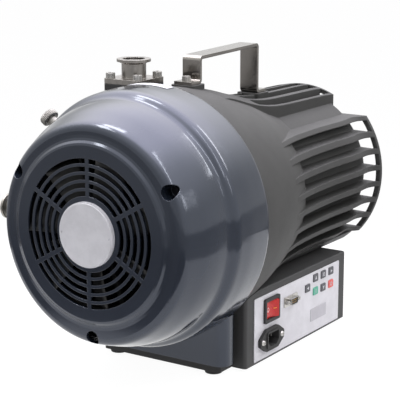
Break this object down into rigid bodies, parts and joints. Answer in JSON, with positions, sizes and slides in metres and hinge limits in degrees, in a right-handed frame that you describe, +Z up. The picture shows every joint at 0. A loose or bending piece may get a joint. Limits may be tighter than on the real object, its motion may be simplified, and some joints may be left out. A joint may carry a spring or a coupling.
{
  "type": "dry scroll vacuum pump",
  "caption": "Dry scroll vacuum pump: finned motor behind a rounded cowl with a round grille, small flanged inlet on top, exhaust at the side, carrying handle and side control box.",
  "frame": {"origin": "centre of the four hold-down holes, on the floor under the rubber feet", "axes": "+Z up, +Y along the shaft from the grille to the finned motor, +X towards the control panel"},
  "size_m": [0.3361, 0.4704, 0.3605],
  "materials": {
    "cowl": "gloss dark blue-grey",
    "casting": "matt grey paint",
    "base": "black",
    "rubber": "black",
    "alloy": "machined",
    "steel": "brushed",
    "bolt": "bright",
    "badge": "satin",
    "label": "plain",
    "gasket": "black",
    "box": "matt dark grey paint",
    "panel": "satin light grey",
    "black_plastic": "black",
    "rocker": "red",
    "key_grey": "grey",
    "key_green": "green",
    "key_red": "red",
    "board": "green",
    "lamination": "stacked",
    "winding": "copper wire",
    "brass": "bright",
    "fan": "black"
  },
  "bodies": {
    "pump": {"base_plate": "base", "rubber_feet": "rubber", "pump_housing": "alloy", "motor_housing": "casting", "rear_cap": "casting", "rear_cap_screws": "bolt", "fixed_scroll": "alloy", "scroll_screws": "bolt", "main_bearing": "bolt", "rear_bearing": "bolt", "shaft_seal": "rubber", "stator_core": "lamination", "stator_windings": "winding", "fan_frame": "fan", "fan_screws": "bolt", "front_cowl": "cowl", "cowl_screws": "bolt", "badge_disc": "badge", "blank_label": "label", "inlet_flange": "steel", "inlet_screws": "bolt", "inlet_gasket": "gasket", "exhaust_port": "steel", "exhaust_gasket": "gasket", "ballast_body": "steel", "handle_strap": "steel", "handle_screws": "bolt", "control_box": "box", "control_panel": "panel", "switch_bezel": "black_plastic", "power_socket": "black_plastic", "socket_pins": "brass", "socket_screws": "bolt", "signal_shell": "bolt", "signal_insert": "black_plastic", "signal_jacks": "bolt", "name_plate": "label", "driver_board": "board", "board_parts": "black_plastic", "key_board": "board"},
    "crank": {"crankshaft": "steel", "counterweight": "lamination", "rotor_core": "lamination", "main_bearing_race": "bolt", "rear_bearing_race": "bolt"},
    "scroll": {"orbiting_scroll": "alloy", "orbit_bearing": "bolt"},
    "aux_1": {"aux_crank_1": "steel"},
    "aux_2": {"aux_crank_2": "steel"},
    "aux_3": {"aux_crank_3": "steel"},
    "fan": {"fan_rotor": "fan"},
    "ballast": {"ballast_knob": "steel"},
    "switch": {"rocker": "rocker"},
    "button_1": {"key_1": "key_grey"},
    "button_2": {"key_2": "key_grey"},
    "button_3": {"key_3": "key_grey"},
    "button_4": {"key_4": "key_grey"},
    "button_5": {"key_5": "key_green"},
    "button_6": {"key_6": "key_grey"},
    "button_7": {"key_7": "key_red"}
  },
  "joints": [
    {"name": "crank_spin", "type": "hinge", "parent": "pump", "child": "crank", "pos_m": [0, 0, 0.1854], "axis": [0, 1, 0], "continuous": true},
    {"name": "scroll_orbit", "type": "hinge", "parent": "crank", "child": "scroll", "pos_m": [0.0052, -0.158, 0.1854], "axis": [0, 1, 0], "continuous": true},
    {"name": "aux_spin_1", "type": "hinge", "parent": "pump", "child": "aux_1", "pos_m": [0, -0.14, 0.2694], "axis": [0, 1, 0], "continuous": true},
    {"name": "aux_spin_2", "type": "hinge", "parent": "pump", "child": "aux_2", "pos_m": [-0.07275, -0.14, 0.1434], "axis": [0, 1, 0], "continuous": true},
    {"name": "aux_spin_3", "type": "hinge", "parent": "pump", "child": "aux_3", "pos_m": [0.07275, -0.14, 0.1434], "axis": [0, 1, 0], "continuous": true},
    {"name": "fan_spin", "type": "hinge", "parent": "pump", "child": "fan", "pos_m": [0, -0.25, 0.1854], "axis": [0, 1, 0], "continuous": true},
    {"name": "ballast_turn", "type": "hinge", "parent": "pump", "child": "ballast", "pos_m": [-0.128, -0.16, 0.2814], "axis": [-0.8, 0, 0.6], "range_deg": [0, 180]},
    {"name": "rocker_tilt", "type": "hinge", "parent": "pump", "child": "switch", "pos_m": [0.099, -0.048, 0.064], "axis": [0, 0, 1], "range_deg": [0, 20]},
    {"name": "key_press_1", "type": "slide", "parent": "pump", "child": "button_1", "axis": [-1, 0, 0], "range_m": [0, 0.0008], "stiffness_N_per_m": 800, "springref_m": -0.0006},
    {"name": "key_press_2", "type": "slide", "parent": "pump", "child": "button_2", "axis": [-1, 0, 0], "range_m": [0, 0.0008], "stiffness_N_per_m": 800, "springref_m": -0.0006},
    {"name": "key_press_3", "type": "slide", "parent": "pump", "child": "button_3", "axis": [-1, 0, 0], "range_m": [0, 0.0008], "stiffness_N_per_m": 800, "springref_m": -0.0006},
    {"name": "key_press_4", "type": "slide", "parent": "pump", "child": "button_4", "axis": [-1, 0, 0], "range_m": [0, 0.0008], "stiffness_N_per_m": 800, "springref_m": -0.0006},
    {"name": "key_press_5", "type": "slide", "parent": "pump", "child": "button_5", "axis": [-1, 0, 0], "range_m": [0, 0.0008], "stiffness_N_per_m": 800, "springref_m": -0.0006},
    {"name": "key_press_6", "type": "slide", "parent": "pump", "child": "button_6", "axis": [-1, 0, 0], "range_m": [0, 0.0008], "stiffness_N_per_m": 800, "springref_m": -0.0006},
    {"name": "key_press_7", "type": "slide", "parent": "pump", "child": "button_7", "axis": [-1, 0, 0], "range_m": [0, 0.0008], "stiffness_N_per_m": 800, "springref_m": -0.0006}
  ],
  "couplings": [
    {"joint": "scroll_orbit", "follows": "crank_spin", "ratio": -1},
    {"joint": "aux_spin_1", "follows": "crank_spin", "ratio": 1},
    {"joint": "aux_spin_2", "follows": "crank_spin", "ratio": 1},
    {"joint": "aux_spin_3", "follows": "crank_spin", "ratio": 1}
  ]
}
